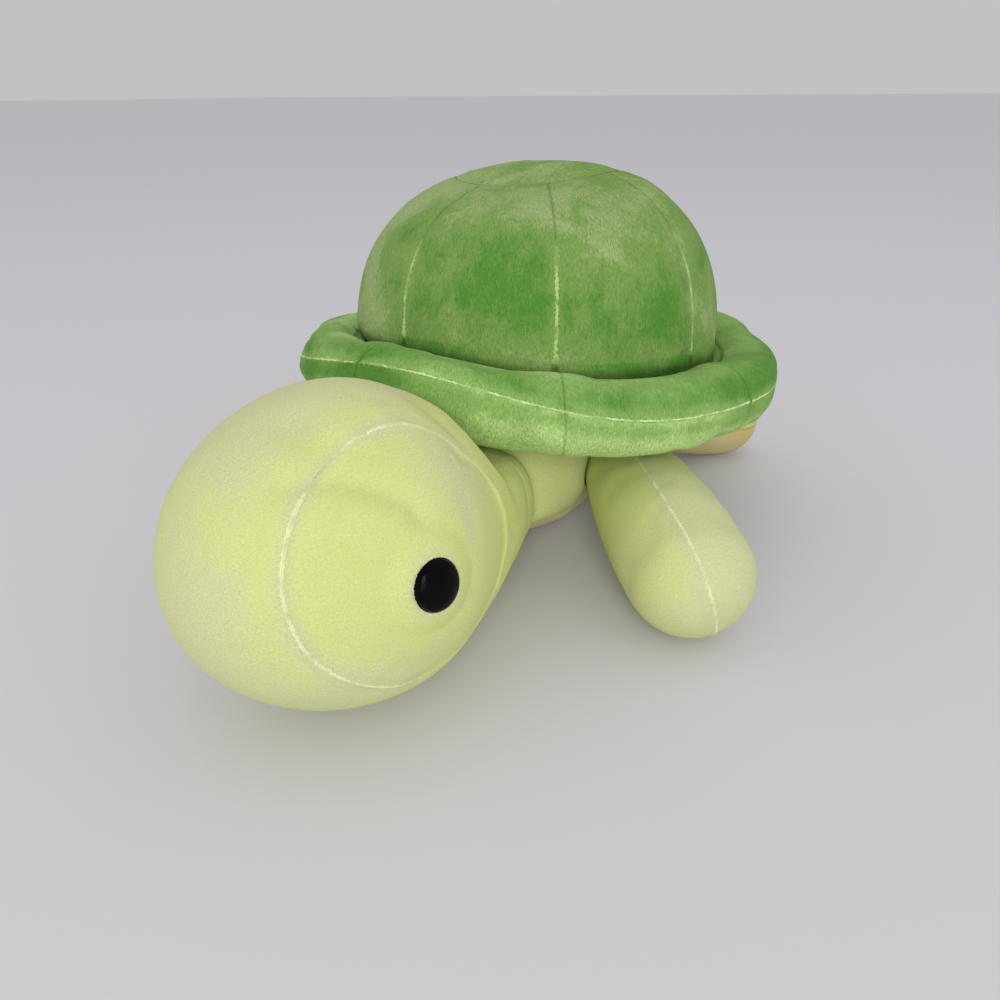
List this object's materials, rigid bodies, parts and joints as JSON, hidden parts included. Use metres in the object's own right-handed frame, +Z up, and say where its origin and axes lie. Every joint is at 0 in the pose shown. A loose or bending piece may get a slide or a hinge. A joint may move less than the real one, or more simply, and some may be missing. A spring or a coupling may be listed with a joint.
{
  "type": "plush turtle",
  "caption": "Stuffed plush turtle lying on its belly, with a domed green shell of sewn gores on a padded brim, a large round head with glossy eyes, and soft flippers.",
  "frame": {"origin": "middle of the flat of the belly, which rests on the ground", "axes": "+Z up, the face towards -Y, the turtle's left towards +X"},
  "size_m": [0.3264, 0.4134, 0.1985],
  "materials": {
    "skin_plush": "short yellow-green plush pile",
    "belly_plush": "short cream plush pile",
    "shell_plush": "short green plush pile, brushed in patches",
    "brim_plush": "short lighter green plush pile",
    "fibre_fill": "loose polyester fibre",
    "eye_plastic": "polished black",
    "pale_plastic": "plain moulded"
  },
  "bodies": {
    "torso": {"body_back_panel": "skin_plush", "body_belly_panel": "belly_plush", "body_stuffing": "fibre_fill", "shell_top_panel": "shell_plush", "shell_gore_1": "shell_plush", "shell_gore_2": "shell_plush", "shell_gore_3": "shell_plush", "shell_gore_4": "shell_plush", "shell_gore_5": "shell_plush", "shell_gore_6": "shell_plush", "shell_gore_7": "shell_plush", "shell_gore_8": "shell_plush", "shell_base_panel": "brim_plush", "shell_stuffing": "fibre_fill", "brim_upper_1": "brim_plush", "brim_upper_2": "brim_plush", "brim_upper_3": "brim_plush", "brim_upper_4": "brim_plush", "brim_upper_5": "brim_plush", "brim_upper_6": "brim_plush", "brim_upper_7": "brim_plush", "brim_upper_8": "brim_plush", "brim_lower_1": "brim_plush", "brim_lower_2": "brim_plush", "brim_lower_3": "brim_plush", "brim_lower_4": "brim_plush", "brim_lower_5": "brim_plush", "brim_lower_6": "brim_plush", "brim_lower_7": "brim_plush", "brim_lower_8": "brim_plush", "brim_stuffing": "fibre_fill"},
    "neck": {"neck_sleeve": "skin_plush", "neck_stuffing": "fibre_fill"},
    "head": {"head_side_left": "skin_plush", "head_side_right": "skin_plush", "head_gusset": "skin_plush", "head_stuffing": "fibre_fill", "eye_left": "eye_plastic", "eye_right": "eye_plastic", "eye_washer_left": "pale_plastic", "eye_washer_right": "pale_plastic"},
    "front_flipper_left": {"front_flipper_left_rear_panel": "skin_plush", "front_flipper_left_front_panel": "skin_plush", "front_flipper_left_stuffing": "fibre_fill"},
    "front_flipper_right": {"front_flipper_right_rear_panel": "skin_plush", "front_flipper_right_front_panel": "skin_plush", "front_flipper_right_stuffing": "fibre_fill"},
    "rear_flipper_left": {"rear_flipper_left_upper_panel": "skin_plush", "rear_flipper_left_sole": "belly_plush", "rear_flipper_left_stuffing": "fibre_fill"},
    "rear_flipper_right": {"rear_flipper_right_upper_panel": "skin_plush", "rear_flipper_right_sole": "belly_plush", "rear_flipper_right_stuffing": "fibre_fill"},
    "tail": {"tail_upper_panel": "skin_plush", "tail_sole": "belly_plush", "tail_stuffing": "fibre_fill"}
  },
  "joints": [
    {"name": "neck_turn", "type": "hinge", "parent": "torso", "child": "neck", "pos_m": [0.008, -0.107, 0.047], "axis": [0, 0, 1], "range_deg": [-15, 15], "stiffness_Nm_per_rad": 2},
    {"name": "head_nod", "type": "hinge", "parent": "neck", "child": "head", "pos_m": [0.008, -0.107, 0.047], "axis": [1, 0, 0], "range_deg": [-3, 12], "stiffness_Nm_per_rad": 2},
    {"name": "front_flipper_left_lift", "type": "hinge", "parent": "torso", "child": "front_flipper_left", "pos_m": [0.062, -0.017, 0.046], "axis": [-0.7427, -0.6696, 0], "range_deg": [-20, 5], "stiffness_Nm_per_rad": 0.6},
    {"name": "front_flipper_right_lift", "type": "hinge", "parent": "torso", "child": "front_flipper_right", "pos_m": [-0.062, -0.017, 0.046], "axis": [-0.7427, 0.6696, 0], "range_deg": [-20, 5], "stiffness_Nm_per_rad": 0.6},
    {"name": "rear_flipper_left_lift", "type": "hinge", "parent": "torso", "child": "rear_flipper_left", "pos_m": [0.05, 0.062, 0.032], "axis": [0.8094, -0.5872, 0], "range_deg": [-20, 5], "stiffness_Nm_per_rad": 0.6},
    {"name": "rear_flipper_right_lift", "type": "hinge", "parent": "torso", "child": "rear_flipper_right", "pos_m": [-0.05, 0.062, 0.032], "axis": [0.8094, 0.5872, 0], "range_deg": [-20, 5], "stiffness_Nm_per_rad": 0.6},
    {"name": "tail_lift", "type": "hinge", "parent": "torso", "child": "tail", "pos_m": [0, 0.082, 0.026], "axis": [1, 0, 0], "range_deg": [-15, 8], "stiffness_Nm_per_rad": 0.1}
  ]
}
